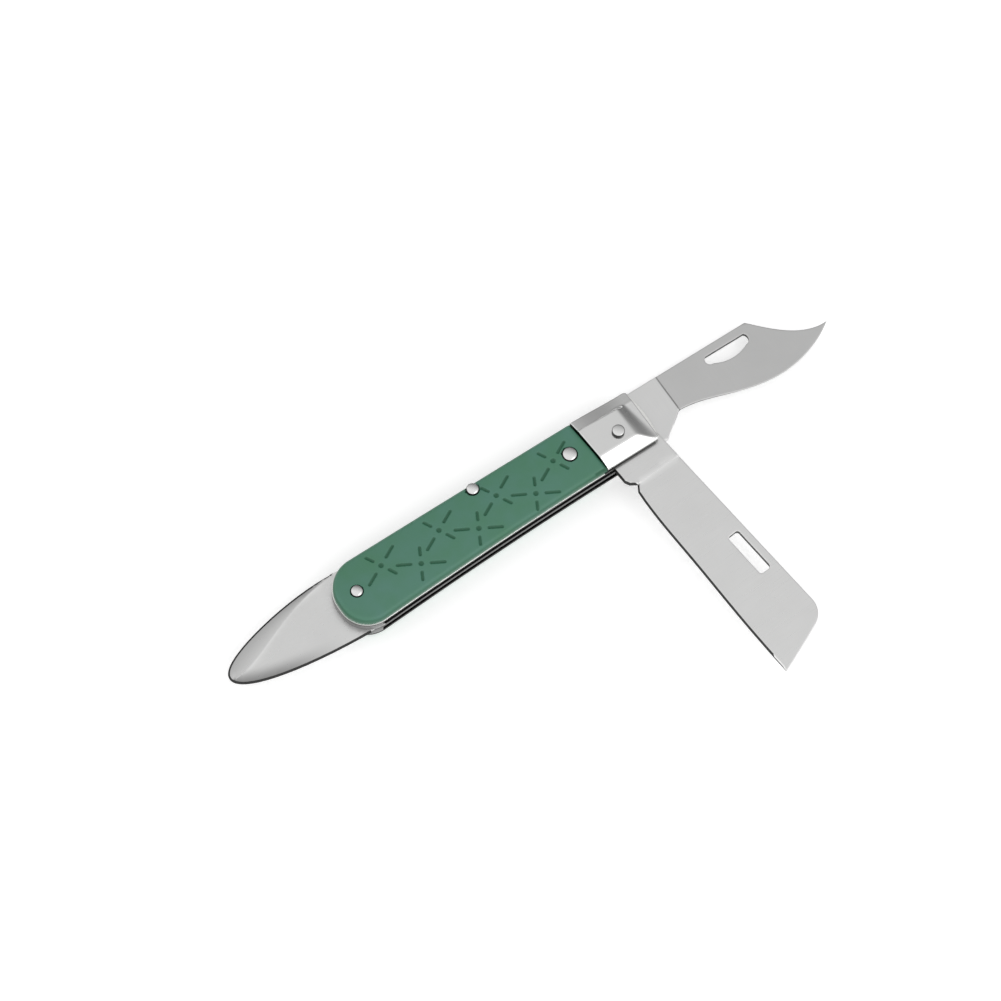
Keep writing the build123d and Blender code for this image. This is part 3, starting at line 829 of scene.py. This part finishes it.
def soften(node, surface, width):
    """Gives a CAD node its material and small bevels on its edges."""
    made = frame["nodes"][node]
    made.data.materials.clear()
    made.data.materials.append(surface)
    made.modifiers.new("weld", "WELD").merge_threshold = 1e-6
    flatten = made.modifiers.new("flatten", "DECIMATE")
    flatten.decimate_type = "DISSOLVE"
    flatten.angle_limit = math.radians(1)
    bevel = made.modifiers.new("bevel", "BEVEL")
    bevel.width = width * MM
    bevel.segments = 2
    bevel.angle_limit = math.radians(40)


for node in ("front_liner", "back_liner"):
    soften(node, liner_steel, 0.1)
for node in ("straight_blade_spring", "curved_blade_spring"):
    soften(node, spring_steel, 0.12)


# ---------------------------------------------------------------- floor, light and camera

def make_floor():
    size = 3.0
    mesh = bpy.data.meshes.new("floor")
    corners = [(-size, -size, 0), (size, -size, 0), (size, size, 0), (-size, size, 0)]
    mesh.from_pydata(corners, [], [(0, 1, 2, 3)])
    floor = add_object("floor", mesh)
    paper = Surface("pale_floor", (0.9, 0.9, 0.9), 0.9)
    paper.shader.inputs["Emission Color"].default_value = (1, 1, 1, 1)
    paper.shader.inputs["Emission Strength"].default_value = FLOOR_GLOW
    mesh.materials.append(paper.material)


def make_world():
    """An even studio sky, darker on the side away from the softbox."""
    world = bpy.data.worlds.new("studio")
    bpy.context.scene.world = world
    world.use_nodes = True
    nodes, links = world.node_tree.nodes, world.node_tree.links
    place = nodes.new("ShaderNodeTexCoord")
    lean = nodes.new("ShaderNodeVectorMath")
    lean.operation = "DOT_PRODUCT"
    lean.inputs[1].default_value = SKY_LEAN
    ramp = nodes.new("ShaderNodeMapRange")
    for name, number in zip(("From Min", "From Max", "To Min", "To Max"), SKY_RANGE + SKY):
        ramp.inputs[name].default_value = number
    links.new(place.outputs["Generated"], lean.inputs[0])
    links.new(lean.outputs["Value"], ramp.inputs["Value"])
    links.new(ramp.outputs["Result"], nodes["Background"].inputs["Strength"])
    nodes["Background"].inputs["Color"].default_value = (1, 1, 1, 1)


def make_softbox(name, direction, away, size, radiance):
    """A soft area light that faces the pivot."""
    light = bpy.data.lights.new(name, "AREA")
    light.shape = "RECTANGLE"
    light.size, light.size_y = size
    light.energy = radiance * math.pi * size[0] * size[1]
    made = bpy.data.objects.new(name, light)
    bpy.context.scene.collection.objects.link(made)
    way = Vector(direction).normalized()
    made.location = Vector(PIVOT * MM) + way * away
    made.rotation_euler = way.to_track_quat("Z", "Y").to_euler()


def make_camera():
    camera_data = bpy.data.cameras.new("camera")
    camera_data.lens = CAMERA_LENS
    camera_data.sensor_width = 36
    camera_data.clip_start = 0.01
    camera = bpy.data.objects.new("camera", camera_data)
    bpy.context.scene.collection.objects.link(camera)
    tilt, lean, turn = (math.radians(angle) for angle in CAMERA_TURN)
    turned = Matrix.Rotation(tilt, 3, "X") @ Matrix.Rotation(lean, 3, "Y") @ Matrix.Rotation(turn, 3, "Z")
    turned.transpose()
    camera.matrix_world = turned.to_4x4()
    camera.location = Vector(PIVOT * MM) + turned @ (Vector(CAMERA_PLACE) * MM)
    bpy.context.scene.camera = camera


FLOOR_GLOW = 0.35
SKY_LEAN = (0.75, 0.66, 0.0)
SKY_RANGE = (0.227, 0.9)
SKY = (0.95, 0.22)
CAMERA_LENS = 143.86
CAMERA_TURN = (-22.845, 2.422, 34.152)
CAMERA_PLACE = (-30.70, -15.81, 1056.94)

make_floor()
make_world()
make_softbox("key_softbox", (0.2, -0.48, 0.83), 0.9, (0.5, 0.28), 1.6)
make_camera()
bpy.context.scene.view_settings.view_transform = "Standard"
